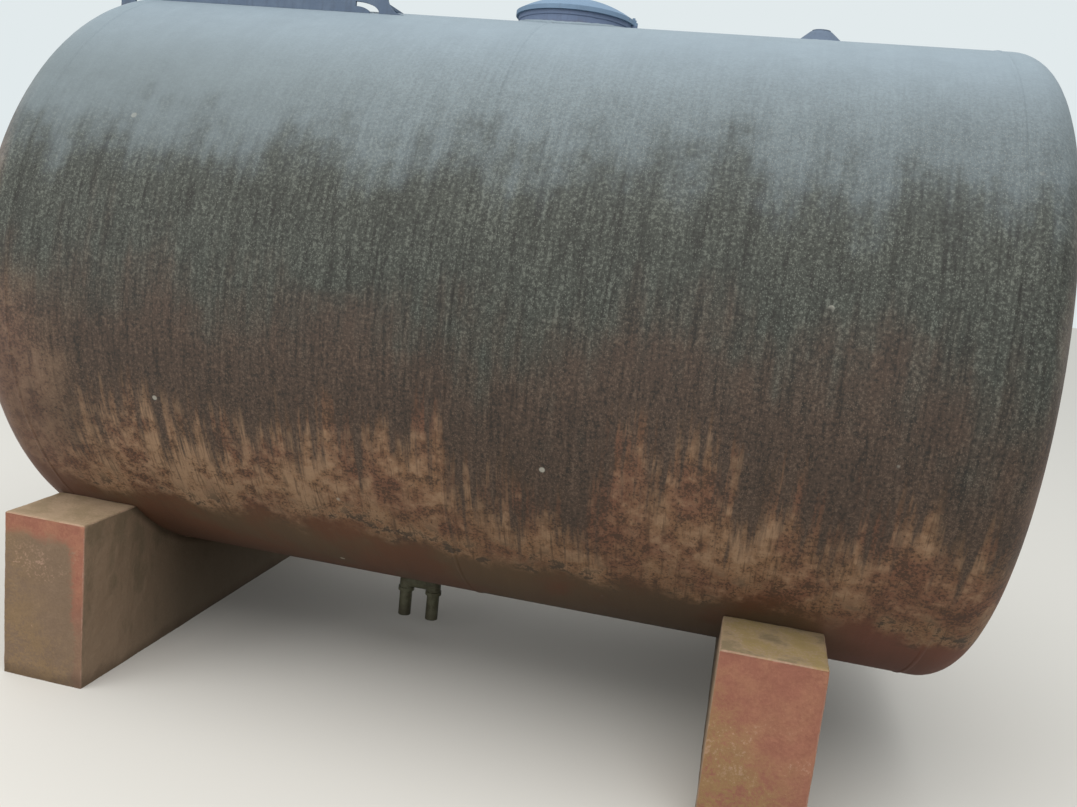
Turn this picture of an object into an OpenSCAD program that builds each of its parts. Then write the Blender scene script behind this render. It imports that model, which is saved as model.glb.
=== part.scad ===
// Horizontal pressure tank on two piers: a rolled steel shell with dished ends,
// a domed manhole on the crown, a plugged vent cone and a bottom outlet with two drops.
// Frame: X runs along the tank, Z is up from the ground, the origin lies on the
// ground under the middle of the shell.

/* [Shell] */
// Outer radius of the shell
tank_r = 1000; // [900:10:1150]
// Length of the shell between the tangent lines of its heads
tangent_l = 2810; // [2500:10:3400]
// Thickness of the shell and head plate
plate_t = 6; // [5:0.5:10]
// Length of the plain skirt on each head, from its tangent line to its weld
skirt_l = 38; // [25:1:60]
// Height of the tank's underside above the ground
belly_h = 271; // [230:1:400]

/* [Heads] */
// Outer radius of the knuckle that turns the skirt into the dish
knuckle_r = 117; // [90:1:150]
// Outer radius of the shallow dish
dish_r = 13150; // [6000:50:20000]

/* [Welds] */
// Root gap between two plates, filled by the weld
weld_root = 3; // [2:0.5:5]
// Width of a weld's cap on the plate
weld_cap_w = 14; // [10:1:24]
// Height of a weld's cap over the plate
weld_cap_h = 2; // [1.5:0.5:4]

/* [Piers] */
// Width of a pier along the tank
pier_w = 295; // [240:5:360]
// Length of a pier across the tank
pier_l = 1880; // [1700:10:2200]
// Height of a pier's shoulders above the ground
pier_h = 546; // [480:2:640]
// Distance from the left tangent line in to the middle of the left pier
pier_left_inset = 133; // [100:1:300]
// Distance from the right tangent line in to the middle of the right pier
pier_right_inset = 447; // [200:1:600]
// Chamfer along a pier's upper edges
pier_chamfer = 14; // [6:1:24]

/* [Manhole] */
// Distance of the manhole to the right of mid-tank
manhole_x = 37; // [-100:5:200]
// Outer radius of the manhole neck
neck_r = 194; // [180:1:195]
// Wall of the manhole neck
neck_t = 8; // [6:1:12]
// Height of the seat ring's upper face above the crown
seat_rise = 26; // [16:1:60]
// Depth of the neck below the crown, inside the tank
neck_drop = 45; // [35:1:80]
// Outer radius of the seat ring on the neck
ring_r = 197; // [195:1:204]
// Radius of the opening in the seat ring
ring_bore_r = 170; // [150:1:175]
// Thickness of the seat ring
ring_t = 12; // [8:1:14]
// Outer radius of the cover's skirt
cover_r = 206; // [204:1:212]
// Height of the cover's skirt
cover_skirt_h = 14; // [12:1:30]
// Rise of the cover's dome above its skirt
dome_rise = 58; // [25:1:80]
// Radius of the hollow under the cover
cover_bore_r = 180; // [160:1:184]
// Thickness of the cover's dome
cover_t = 6; // [4:1:10]

/* [Cover stud] */
// Distance of the stud from the middle of the manhole
stud_reach = 201; // [198:0.5:204]
// Radius of the stud
stud_r = 5; // [4:0.5:6]
// Length of thread left above the nut
stud_spare = 7; // [2:0.5:20]
// Width of the two lugs that the stud passes through
lug_w = 30; // [26:1:40]
// Thickness of the cover's lug
lug_t = 10; // [8:0.5:12]
// Width of the nut across its flats
nut_af = 17; // [15:0.5:20]
// Height of the nut
nut_h = 9; // [6:0.5:12]
// Clearance between the nut's corners and the notch cut for it in the cover
notch_gap = 2.5; // [1:0.5:4]

/* [Cradle] */
// Distance of each bearer's middle plane from the tank's middle plane
cradle_y = 300; // [240:2:360]
// Thickness of a bearer's web
bearer_t = 10; // [8:1:16]
// Width of the flange along a bearer's upper edge
flange_w = 50; // [44:1:70]
// Thickness of the flange
flange_t = 8; // [6:0.5:12]
// Height of the cradle's upper face above the crown
cradle_rise = 64; // [50:1:110]
// Distance from mid-tank to the bearers' left end
cradle_left_x = 1518; // [1500:2:1530]
// Distance from mid-tank to the toe of the bearers' right foot
cradle_right_x = 472; // [420:2:520]
// Radius of the hollow curve that widens the right foot
foot_r = 60; // [40:1:80]
// Half length of the arch cut over each foot's toe
arch_l = 84; // [60:1:90]
// Height of the arch
arch_h = 34; // [24:1:45]
// Half length of the rounded heel inside the arch
heel_l = 50; // [30:1:56]
// Height of the rounded heel
heel_h = 19; // [12:1:22]
// Length of the right foot from the arch to its toe
toe_w = 85; // [70:1:110]
// Width of the left leg, outside the arch
leg_w = 54; // [40:1:70]
// Depth that the left foot reaches down over the head's knuckle
hook_drop = 28; // [10:1:40]
// Distance from mid-tank to the middle of the cradle's bolt holes
cradle_mid_x = 1050; // [1030:2:1070]
// Distance between the bolt holes along the tank
hole_pitch_x = 700; // [600:5:740]
// Distance between the bolt holes across the tank
hole_pitch_y = 540; // [440:5:544]
// Radius of the bolt holes in the flanges
hole_r = 7; // [5:0.5:9]
// Width of a cross tie along the tank
tie_w = 60; // [40:1:90]
// Thickness of a cross tie
tie_t = 10; // [6:1:14]
// Distance between two cross ties
tie_pitch = 360; // [300:5:370]

/* [Vent cone] */
// Distance of the vent cone to the right of mid-tank
vent_x = 858; // [600:2:1000]
// Radius of the cone's foot
vent_foot_r = 93; // [70:1:110]
// Radius of the cone's top
vent_top_r = 36; // [33:1:50]
// Depth of the cone's foot below the crown, so that its rim meets the shell
vent_sink = 5; // [4:0.5:8]
// Height of the cone's top above the crown
vent_rise = 43; // [30:1:80]
// Radius of the bore through the cone
vent_bore_r = 17; // [10:0.5:18]
// Radius of the plug's round head
plug_r = 30; // [20:0.5:32]
// Height of the plug's head
plug_head_h = 5; // [4:0.5:14]

/* [Bottom outlet] */
// Distance of the outlet to the left of mid-tank
outlet_x = 340; // [200:5:390]
// Outer radius of the boss under the tank
boss_r = 40; // [32:1:60]
// Depth of the boss below the tank's underside
boss_drop = 40; // [30:1:50]
// Outer radius of the header's body
header_r = 27; // [26:0.5:32]
// Radius of the collars on the header's branches
collar_r = 31; // [29:0.5:36]
// Length of the collars from the header's axis
collar_l = 42; // [38:1:50]
// Radius of the header's bore
header_bore_r = 18; // [12:0.5:19]
// Distance between the two drop pipes
drop_spacing = 112; // [100:2:200]
// Outer radius of a drop pipe
drop_r = 24.15; // [21:0.05:25]
// Wall of a drop pipe
drop_wall = 3.7; // [2.5:0.1:5]
// Height of the drop pipes' open ends above the ground
drop_end_h = 46; // [20:1:80]

/* [Hidden] */

// Clearance between two pieces that seat on each other
seat_gap = 0.3;
// Overlap of a cutting solid past the face that it cuts
cut = 1;
// Facets of a full circle, where a curve states no finer ones
$fn = 96;

axis_z = belly_h + tank_r;
crown_z = axis_z + tank_r;
inner_r = tank_r - plate_t;

// Dish centre below the tangent plane, where dish and knuckle meet smoothly
dish_c = sqrt(pow(dish_r - knuckle_r, 2) - pow(tank_r - knuckle_r, 2));
head_depth = dish_r - dish_c;

// Two equal courses between the two heads' welds
courses = 2;
weld_span = tangent_l - 2 * skirt_l;
course_pitch = weld_span / courses;
function seam_x(i) = -weld_span / 2 + i * course_pitch;

seat_z = crown_z + seat_rise;
ring_low_z = seat_z - ring_t;
cover_low_z = seat_z + seat_gap;

header_z = belly_h - boss_drop - seat_gap - collar_l;
drop_bore_r = drop_r - drop_wall;

steel_red = "#7a4a3a";
steel_dark = "#4a4640";
plaster_red = "#9c5f50";
pipe_olive = "#7c7d62";

// Solid of revolution about the tank's axis, from a profile in (radius, x)
module along_axis(open = 0) {
    start = open > 0 ? 180 + open : 0;
    translate([0, 0, axis_z]) rotate([0, 90, 0]) rotate(start)
        rotate_extrude(angle = 360 - 2 * open) children();
}

// Cylinder along the tank's axis, for the cuts that seat pieces on the shell
module axis_bar(r, length = 3 * tangent_l) {
    translate([0, 0, axis_z]) rotate([0, 90, 0])
        cylinder(r = r, h = length, center = true, $fn = 720);
}

// One rolled course between two seams
module course(i) {
    along_axis() translate([inner_r, seam_x(i) + weld_root / 2])
        square([plate_t, course_pitch - weld_root]);
}

// Half section of a solid dished end on its skirt, tangent plane at zero
module dish_section(inset) {
    r = tank_r - inset;
    k = knuckle_r - inset;
    big = dish_r - inset;
    knuckle_x = tank_r - knuckle_r;
    far = 2 * head_depth;
    lean = knuckle_x / dish_c;
    intersection() {
        translate([0, -dish_c]) circle(r = big, $fn = 2000);
        polygon([[0, 0], [knuckle_x, 0], [knuckle_x + far * lean, far], [0, far]]);
    }
    intersection() {
        translate([knuckle_x, 0]) circle(r = k);
        square([r, k]);
    }
    translate([0, -skirt_l]) square([r, skirt_l]);
}

// Dished end with its plate thickness, opening towards its weld
module head(side) {
    color(steel_red) translate([side * tangent_l / 2, 0, axis_z]) rotate([0, side * 90, 0])
        rotate_extrude() difference() {
            dish_section(0);
            dish_section(plate_t);
            translate([0, -skirt_l - cut]) square([tank_r + cut, cut + weld_root / 2]);
        }
}

// Girth weld: the filled root and the low cap over it
module girth_weld(x, open = 0) {
    cap_r = (pow(weld_cap_w / 2, 2) + pow(weld_cap_h, 2)) / (2 * weld_cap_h);
    color(steel_dark) along_axis(open) {
        translate([inner_r, x - weld_root / 2]) square([plate_t, weld_root]);
        intersection() {
            translate([tank_r + weld_cap_h - cap_r, x]) circle(r = cap_r);
            translate([tank_r, x - weld_cap_w / 2]) square([weld_cap_h + cut, weld_cap_w]);
        }
    }
}

// Groove round a weld's cap, for a pier that carries the shell across it
module weld_relief(x) {
    translate([x, 0, 0]) axis_bar(tank_r + weld_cap_h + seat_gap, weld_cap_w + 2 * seat_gap);
}

// Painted pier with a seat that follows the shell
module pier(x) {
    color(plaster_red) difference() {
        translate([x, 0, 0]) rotate([90, 0, 90]) linear_extrude(pier_w, center = true)
            polygon([
                [-pier_l / 2, 0], [pier_l / 2, 0],
                [pier_l / 2, pier_h - pier_chamfer], [pier_l / 2 - pier_chamfer, pier_h],
                [-pier_l / 2 + pier_chamfer, pier_h], [-pier_l / 2, pier_h - pier_chamfer]
            ]);
        axis_bar(tank_r + seat_gap);
        for (i = [0:courses]) weld_relief(seam_x(i));
    }
}

module pier_left() pier(pier_left_inset - tangent_l / 2);
module pier_right() pier(tangent_l / 2 - pier_right_inset);

// Opening for the manhole neck, which crosses the middle seam
module neck_opening() translate([manhole_x, 0, axis_z])
    cylinder(r = neck_r + seat_gap, h = 2 * tank_r);

// Left course, drilled over the bottom outlet
module shell_left() color(steel_red) difference() {
    course(0);
    neck_opening();
    outlet_bore();
}

// Right course, drilled under the vent cone
module shell_right() color(steel_red) difference() {
    course(1);
    neck_opening();
    vent_bore();
}

module head_left() head(-1);
module head_right() head(1);

module weld_head_left() girth_weld(seam_x(0));

// Middle weld, parted by the manhole neck
module weld_middle() {
    reach = sqrt(max(0, pow(neck_r + seat_gap, 2) - pow(seam_x(1) - manhole_x, 2)));
    girth_weld(seam_x(1), asin(reach / inner_r), $fn = 360);
}

module weld_head_right() girth_weld(seam_x(2));

// Tube with its lower face at z
module tube(r_out, r_in, z, h) {
    translate([0, 0, z]) difference() {
        cylinder(r = r_out, h = h);
        translate([0, 0, -cut]) cylinder(r = r_in, h = h + 2 * cut);
    }
}

module manhole_neck() color(steel_dark)
    translate([manhole_x, 0, 0])
        tube(neck_r, neck_r - neck_t, crown_z - neck_drop, ring_low_z - seat_gap - crown_z + neck_drop);

// Stands its children on the stud's axis
module at_stud() translate([stud_reach, 0, 0]) children();

// Outline of the lug round the stud, from the manhole's axis outwards
module lug_outline() {
    translate([0, -lug_w / 2]) square([stud_reach, lug_w]);
    at_stud() circle(d = lug_w);
}

// Hole for the stud, through everything near the seat between ring and cover
module stud_hole() at_stud() translate([0, 0, -2 * ring_t])
    cylinder(r = stud_r + seat_gap, h = 2 * (ring_t + cover_skirt_h + dome_rise));

// Seat ring on the neck's upper edge, widened to a lug at the stud
module manhole_ring() color(steel_dark) translate([manhole_x, 0, ring_low_z]) difference() {
    linear_extrude(ring_t) difference() {
        union() {
            circle(r = ring_r);
            lug_outline();
        }
        circle(r = ring_bore_r);
    }
    stud_hole();
}

// Profile of the cover: a short skirt under a spherical dome of even plate
module cover_profile() {
    ball_r = (pow(cover_r, 2) + pow(dome_rise, 2)) / (2 * dome_rise);
    ball_z = cover_skirt_h + dome_rise - ball_r;
    difference() {
        union() {
            square([cover_r, cover_skirt_h]);
            intersection() {
                translate([0, ball_z]) circle(r = ball_r, $fn = 400);
                translate([0, cover_skirt_h]) square([cover_r, dome_rise + cut]);
            }
        }
        intersection() {
            translate([0, ball_z]) circle(r = ball_r - cover_t, $fn = 400);
            translate([0, -cut]) square([cover_bore_r, cover_skirt_h + dome_rise]);
        }
    }
}

// Domed cover with its own lug, notched so that the nut can lie on the lug
module manhole_cover() color(steel_dark) translate([manhole_x, 0, cover_low_z]) difference() {
    union() {
        rotate_extrude() cover_profile();
        linear_extrude(lug_t) difference() {
            lug_outline();
            circle(r = cover_r - cut);
        }
    }
    at_stud() translate([0, 0, lug_t])
        cylinder(r = nut_af / 2 / cos(30) + notch_gap, h = cover_skirt_h + dome_rise);
    stud_hole();
}

// Stud through both lugs, flush with the lower one's underside
module cover_stud() color(steel_dark) translate([manhole_x, 0, ring_low_z]) at_stud()
    cylinder(r = stud_r, h = ring_t + lug_t + nut_h + stud_spare);

module cover_nut() color(steel_dark)
    translate([manhole_x, 0, cover_low_z + lug_t + seat_gap]) at_stud() difference() {
        cylinder(d = nut_af / cos(30), h = nut_h, $fn = 6);
        translate([0, 0, -cut]) cylinder(r = stud_r + seat_gap, h = nut_h + 2 * cut);
    }

// Height of the shell's surface where the bearers stand, and of their upper face
stand_z = axis_z + sqrt(pow(tank_r, 2) - pow(cradle_y, 2));
cradle_top_z = crown_z + cradle_rise;
bearer_h = cradle_top_z - stand_z;

// Quarter ellipse from its long half axis to its short one, as points
function quarter(a, b, n = 16) = [for (i = [0:n]) [a * cos(90 * i / n), b * sin(90 * i / n)]];

// Curved slot that parts a foot's toe from the heel behind it
module arch_slot() {
    difference() {
        polygon(concat([[0, 0], [0, -hook_drop], [arch_l, -hook_drop]], quarter(arch_l, arch_h)));
        polygon(concat(
            [[-cut, 0], [-cut, -hook_drop - cut], [heel_l, -hook_drop - cut]],
            quarter(heel_l, heel_h)
        ));
        translate([-cut, heel_h - cut]) square([cut, arch_h]);
    }
}

// Outline of a bearer seen from the front, standing on height zero
module bearer_outline() {
    right_face = -cradle_right_x - foot_r;
    difference() {
        union() {
            translate([-cradle_left_x, -hook_drop])
                square([right_face + cradle_left_x, bearer_h + hook_drop]);
            difference() {
                translate([right_face - cut, -hook_drop]) square([foot_r + cut, foot_r + hook_drop]);
                translate([-cradle_right_x, foot_r]) circle(r = foot_r);
            }
        }
        translate([-cradle_right_x - toe_w - arch_l, 0]) arch_slot();
        translate([-cradle_left_x + leg_w + arch_l, 0]) mirror([1, 0]) arch_slot();
    }
}

// Bearer of angle section: a web cut to the shell and the head's knuckle, and a
// drilled flange that points to the tank's middle plane
module bearer(side) {
    inner_y = cradle_y + bearer_t / 2 - flange_w;
    color(steel_dark) difference() {
        union() {
            translate([0, side * cradle_y, stand_z]) rotate([90, 0, 0])
                linear_extrude(bearer_t, center = true) bearer_outline();
            translate([-cradle_left_x, side > 0 ? inner_y : -inner_y - flange_w, cradle_top_z - flange_t])
                cube([cradle_left_x - cradle_right_x - foot_r, flange_w, flange_t]);
        }
        axis_bar(tank_r + seat_gap, tangent_l);
        translate([-tangent_l / 2, 0, axis_z]) rotate([0, -90, 0])
            rotate_extrude($fn = 720) dish_section(-seat_gap);
        for (end = [-1, 1])
            translate([end * hole_pitch_x / 2 - cradle_mid_x, side * hole_pitch_y / 2, crown_z])
                cylinder(r = hole_r, h = 2 * bearer_h);
    }
}

module bearer_front() bearer(-1);
module bearer_back() bearer(1);

// Flat tie between the two webs, under their flanges
module tie(x) {
    span = 2 * cradle_y - bearer_t - 2 * seat_gap;
    color(steel_dark) translate([x, 0, cradle_top_z - flange_t - seat_gap - tie_t / 2])
        cube([tie_w, span, tie_t], center = true);
}

module tie_left() tie(-cradle_mid_x - tie_pitch);
module tie_middle() tie(-cradle_mid_x);
module tie_right() tie(-cradle_mid_x + tie_pitch);

// Bore through the shell's plate and the vent cone
module vent_bore() translate([vent_x, 0, inner_r + axis_z - cut - vent_rise])
    cylinder(r = vent_bore_r, h = plate_t + 3 * vent_rise);

// Cone welded to the crown, bored through, with its foot cut to the shell
module vent_cone() color(steel_dark) difference() {
    translate([vent_x, 0, crown_z - vent_sink])
        cylinder(r1 = vent_foot_r, r2 = vent_top_r, h = vent_rise + vent_sink);
    axis_bar(tank_r + seat_gap);
    vent_bore();
}

// Plug that closes the cone: a shank in the bore under a round head
module vent_plug() color(steel_dark) translate([vent_x, 0, crown_z + vent_rise + seat_gap]) {
    cylinder(r = plug_r, h = plug_head_h);
    translate([0, 0, -vent_rise / 2]) cylinder(r = vent_bore_r - seat_gap, h = vent_rise / 2);
}

// Bore from the header into the tank
module outlet_bore() translate([-outlet_x, 0, header_z]) cylinder(r = header_bore_r, h = tank_r);

module outlet_boss() color(pipe_olive) difference() {
    translate([-outlet_x, 0, belly_h - boss_drop])
        cylinder(r = boss_r, h = boss_drop + boss_r / 2);
    axis_bar(tank_r + seat_gap);
    outlet_bore();
}

// Places its children over both drop pipes, on the header's axis
module at_drops() {
    for (side = [-1, 1]) translate([-outlet_x + side * drop_spacing / 2, 0, header_z]) children();
}

// Header of pipe fittings: a run, a branch up to the boss and two down to the drops
module outlet_header() color(pipe_olive) difference() {
    union() {
        translate([-outlet_x, 0, header_z]) {
            rotate([0, 90, 0]) cylinder(r = header_r, h = drop_spacing, center = true);
            cylinder(r = collar_r, h = collar_l);
        }
        at_drops() {
            sphere(r = header_r);
            translate([0, 0, -collar_l]) cylinder(r = header_r, h = collar_l);
            translate([0, 0, -collar_l]) cylinder(r = collar_r, h = collar_l / 3);
        }
    }
    translate([-outlet_x, 0, header_z]) rotate([0, 90, 0])
        cylinder(r = header_bore_r - cut, h = drop_spacing, center = true);
    outlet_bore();
    at_drops() translate([0, 0, -collar_l - cut]) cylinder(r = header_bore_r, h = collar_l + cut);
}

// Open drop pipe below one of the header's collars
module drop(side) color(pipe_olive)
    translate([-outlet_x + side * drop_spacing / 2, 0, 0])
        tube(drop_r, drop_bore_r, drop_end_h, header_z - collar_l - seat_gap - drop_end_h);

module drop_left() drop(-1);
module drop_right() drop(1);

pier_left();
pier_right();
shell_left();
shell_right();
head_left();
head_right();
weld_head_left();
weld_middle();
weld_head_right();
manhole_neck();
manhole_ring();
manhole_cover();
cover_stud();
cover_nut();
bearer_front();
bearer_back();
tie_left();
tie_middle();
tie_right();
vent_cone();
vent_plug();
outlet_boss();
outlet_header();
drop_left();
drop_right();
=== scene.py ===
"""Looks of the horizontal pressure tank: weathered paint, plaster piers, weld beads and the studio."""

from __future__ import annotations

import logging
import math
from dataclasses import dataclass
from enum import Enum
from typing import Callable, Optional, Union

import bpy
from mathutils import Matrix, Vector

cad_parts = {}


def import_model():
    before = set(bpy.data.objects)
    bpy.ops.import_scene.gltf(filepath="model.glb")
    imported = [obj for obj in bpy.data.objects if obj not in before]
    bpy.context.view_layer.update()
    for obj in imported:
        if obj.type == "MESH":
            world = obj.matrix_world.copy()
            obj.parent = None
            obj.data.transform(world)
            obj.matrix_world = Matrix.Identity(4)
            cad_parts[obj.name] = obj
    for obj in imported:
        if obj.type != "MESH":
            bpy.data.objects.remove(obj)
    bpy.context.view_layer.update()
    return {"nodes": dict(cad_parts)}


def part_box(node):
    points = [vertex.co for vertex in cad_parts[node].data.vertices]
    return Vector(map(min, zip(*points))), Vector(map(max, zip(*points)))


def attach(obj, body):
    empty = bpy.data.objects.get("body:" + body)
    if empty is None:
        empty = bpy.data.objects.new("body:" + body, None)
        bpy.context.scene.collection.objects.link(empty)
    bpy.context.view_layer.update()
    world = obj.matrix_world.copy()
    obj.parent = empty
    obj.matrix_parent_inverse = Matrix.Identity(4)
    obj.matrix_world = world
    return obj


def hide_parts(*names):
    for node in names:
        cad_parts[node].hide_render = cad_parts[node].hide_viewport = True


logging.basicConfig(level=logging.INFO, format="%(message)s")
log = logging.getLogger("tank")

Colour = tuple[float, float, float]
Point = tuple[float, float, float]
Span = tuple[float, float]

BODY = "root"
AXIS_Z = 1.271
TANK_R = 1.0
CROWN_Z = AXIS_Z + TANK_R
TANGENT_X = 1.405
# The curve of display colours. Its straight foot, below level 11, isn't needed here.
SRGB_LIFT = 0.055
SRGB_POWER = 2.4
# Metres: how near a point counts as on a face, and how near two points are one.
TOUCH = 1e-4
MERGE = 1e-5
# An edge that turns by more than this is an arris.
ARRIS_ANGLE = math.radians(60.0)


def paint(red: int, green: int, blue: int) -> Colour:
    """Turns a display colour into the linear one that a shader takes.

    Args:
        red: Red from 0 to 255.
        green: Green from 0 to 255.
        blue: Blue from 0 to 255.

    Returns:
        The linear colour.
    """
    lifted = ((part / 255.0 + SRGB_LIFT) / (1.0 + SRGB_LIFT) for part in (red, green, blue))
    return tuple(part**SRGB_POWER for part in lifted)


class Slot(Enum):
    """Names of material slots, passed along with the new pieces."""

    WELD = "weld_bead"
    FITTING = "fitting_steel"
    PIER = "pier_plaster"


class Side(Enum):
    """End of the tank, by the sign of its X."""

    LEFT = -1
    RIGHT = 1


class Element(Enum):
    """Kind of mesh element that an edit step chooses."""

    POINT = "VERT"
    EDGE = "EDGE"
    FACE = "FACE"


@dataclass(frozen=True)
class Wire:
    """One output of a shader tree, with Python's operators for numbers."""

    tree: ShaderTree
    socket: bpy.types.NodeSocket

    def _math(self, operation: str, first: Number, second: Number = 0.0) -> Wire:
        """Adds one Math node."""
        return self.tree.node("ShaderNodeMath", {"operation": operation}, {0: first, 1: second})

    def __add__(self, other: Number) -> Wire:
        """Sum with a number or a wire."""
        return self._math("ADD", self, other)

    def __radd__(self, other: Number) -> Wire:
        """Sum with a number on the left."""
        return self._math("ADD", other, self)

    def __sub__(self, other: Number) -> Wire:
        """Difference to a number or a wire."""
        return self._math("SUBTRACT", self, other)

    def __rsub__(self, other: Number) -> Wire:
        """Difference from a number on the left."""
        return self._math("SUBTRACT", other, self)

    def __mul__(self, other: Number) -> Wire:
        """Product with a number or a wire."""
        return self._math("MULTIPLY", self, other)

    def sway(self, reach: float) -> Wire:
        """Swing of a noise to both sides of zero, from its middle of one half."""
        return (self - 0.5) * reach

    def size(self) -> Wire:
        """Value without its sign."""
        return self._math("ABSOLUTE", self)

    def least(self, other: Number) -> Wire:
        """Lesser of two values."""
        return self._math("MINIMUM", self, other)

    def most(self, other: Number) -> Wire:
        """Greater of two values."""
        return self._math("MAXIMUM", self, other)

    def rise(self, low: float, high: float, start: float = 0.0, end: float = 1.0) -> Wire:
        """Smooth step of this value.

        Args:
            low: Value at which the step starts.
            high: Value at which the step ends.
            start: Result below the step.
            end: Result above the step.

        Returns:
            The stepped value.
        """
        return self.tree.node(
            "ShaderNodeMapRange",
            {"interpolation_type": "SMOOTHSTEP"},
            {0: self, 1: low, 2: high, 3: start, 4: end},
        )


Number = Union[float, Wire]


class ShaderTree:
    """Node tree of a material or of the world, written as expressions."""

    def __init__(self, owner: Union[bpy.types.Material, bpy.types.World]) -> None:
        """Empties the tree of its owner.

        Args:
            owner: Material or world that the tree belongs to.
        """
        self.owner = owner
        owner.use_nodes = True
        self.tree = owner.node_tree
        self.tree.nodes.clear()

    @classmethod
    def named(cls, name: str) -> ShaderTree:
        """Starts the tree of a new material."""
        return cls(bpy.data.materials.new(name))

    def node(
        self,
        kind: str,
        settings: dict[str, object],
        inputs: dict[Union[int, str], object],
        output: Union[int, str] = 0,
    ) -> Wire:
        """Adds one node.

        Args:
            kind: Blender's type name of the node.
            settings: Attributes that are set before the sockets.
            inputs: Values or wires by socket name or number.
            output: Socket to return.

        Returns:
            The wire of that output.
        """
        made = self.tree.nodes.new(kind)
        for name, value in settings.items():
            setattr(made, name, value)
        for name, value in inputs.items():
            if isinstance(value, Wire):
                self.tree.links.new(value.socket, made.inputs[name])
            elif isinstance(value, tuple) and made.inputs[name].type == "RGBA":
                made.inputs[name].default_value = (*value, 1.0)
            else:
                made.inputs[name].default_value = value
        return Wire(self, made.outputs[output] if made.outputs else made.inputs[0])

    def place(self) -> Wire:
        """Place of the shaded point in the tank's own frame."""
        return self.node("ShaderNodeTexCoord", {}, {}, "Object")

    def facing(self) -> tuple[Wire, Wire, Wire]:
        """Parts of the surface's direction along X, Y and Z."""
        normal = self.node("ShaderNodeNewGeometry", {}, {}, "True Normal")
        return self.parts(normal)

    def parts(self, vector: Wire) -> tuple[Wire, Wire, Wire]:
        """Splits a vector into its three numbers.

        Args:
            vector: The vector.

        Returns:
            Its X, Y and Z.
        """
        split = self.node("ShaderNodeSeparateXYZ", {}, {0: vector})
        outputs = split.socket.node.outputs
        return tuple(Wire(self, outputs[axis]) for axis in range(3))

    def stretch(self, vector: Wire, factors: Point) -> Wire:
        """Multiplies a vector's parts, so that a pattern gets longer along one of them."""
        return self.node("ShaderNodeVectorMath", {"operation": "MULTIPLY"}, {0: vector, 1: factors})

    def shift(self, vector: Wire, offset: Point) -> Wire:
        """Moves a pattern."""
        return self.node("ShaderNodeVectorMath", {"operation": "ADD"}, {0: vector, 1: offset})

    def noise(self, vector: Wire, scale: float, detail: float, rough: float = 0.55) -> Wire:
        """Fractal noise.

        Args:
            vector: Place at which it is read.
            scale: Grains per metre.
            detail: Octaves.
            rough: Share that each octave keeps.

        Returns:
            The noise, from 0 to 1.
        """
        return self.node(
            "ShaderNodeTexNoise",
            {},
            {"Vector": vector, "Scale": scale, "Detail": detail, "Roughness": rough},
        )

    def streaks(self, place: Wire, head: Wire, across: float, along: float, detail: float) -> Wire:
        """Noise drawn out down the slope, round the shell as well as down the heads.

        Args:
            place: Place at which it is read.
            head: Share of the heads.
            across: Streaks per metre.
            along: Breaks per metre of a streak.
            detail: Octaves.

        Returns:
            The noise, from 0 to 1.
        """
        shell = self.noise(self.stretch(place, (across, along, along)), 1.0, detail, 0.6)
        ends = self.noise(self.stretch(place, (along, across, along)), 1.0, detail, 0.6)
        return shell + (ends - shell) * head

    def cells(self, vector: Wire, scale: float) -> Wire:
        """Distance to the nearest of scattered points."""
        return self.node("ShaderNodeTexVoronoi", {}, {"Vector": vector, "Scale": scale}, "Distance")

    def blend(self, share: Number, first: Union[Colour, Wire], second: Union[Colour, Wire]) -> Wire:
        """Mixes two colours.

        Args:
            share: Share of the second colour.
            first: Colour at share 0.
            second: Colour at share 1.

        Returns:
            The mixed colour.
        """
        return self.node(
            "ShaderNodeMix",
            {"data_type": "RGBA", "clamp_factor": True},
            {0: share, 6: first, 7: second},
            2,
        )

    def tint(self, colour: Wire, share: Number, by: Wire) -> Wire:
        """Multiplies a colour by another one, by a share."""
        return self.node(
            "ShaderNodeMix",
            {"data_type": "RGBA", "blend_type": "MULTIPLY", "clamp_factor": True},
            {0: share, 6: colour, 7: by},
            2,
        )

    def grey(self, value: Wire, low: float, high: float) -> Wire:
        """Grey colour between two levels."""
        return self.blend(value, (low, low, low), (high, high, high))

    def bump(self, height: Wire, distance: float, strength: float, under: Optional[Wire] = None) -> Wire:
        """Bends the surface's direction by a height.

        Args:
            height: Height, from 0 to 1.
            distance: Size of a height of 1, in metres.
            strength: Share of the effect.
            under: Direction that is bent further.

        Returns:
            The bent direction.
        """
        inputs = {"Height": height, "Distance": distance, "Strength": strength}
        if under is not None:
            inputs["Normal"] = under
        return self.node("ShaderNodeBump", {}, inputs)

    def close(self, shader: Wire) -> None:
        """Ends the tree with its output node.

        Args:
            shader: What the output shows.
        """
        world = isinstance(self.owner, bpy.types.World)
        kind = "ShaderNodeOutputWorld" if world else "ShaderNodeOutputMaterial"
        self.node(kind, {}, {"Surface": shader})

    def finish(self, colour: Wire, rough: Number, normal: Wire, gloss: float) -> bpy.types.Material:
        """Closes the tree with one surface shader.

        Args:
            colour: Colour over the surface.
            rough: Roughness.
            normal: Bent direction.
            gloss: Level of reflection.

        Returns:
            The finished material.
        """
        surface = {
            "Base Color": colour,
            "Roughness": rough,
            "Normal": normal,
            "Specular IOR Level": gloss,
        }
        self.close(self.node("ShaderNodeBsdfPrincipled", {}, surface))
        return self.owner


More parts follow.
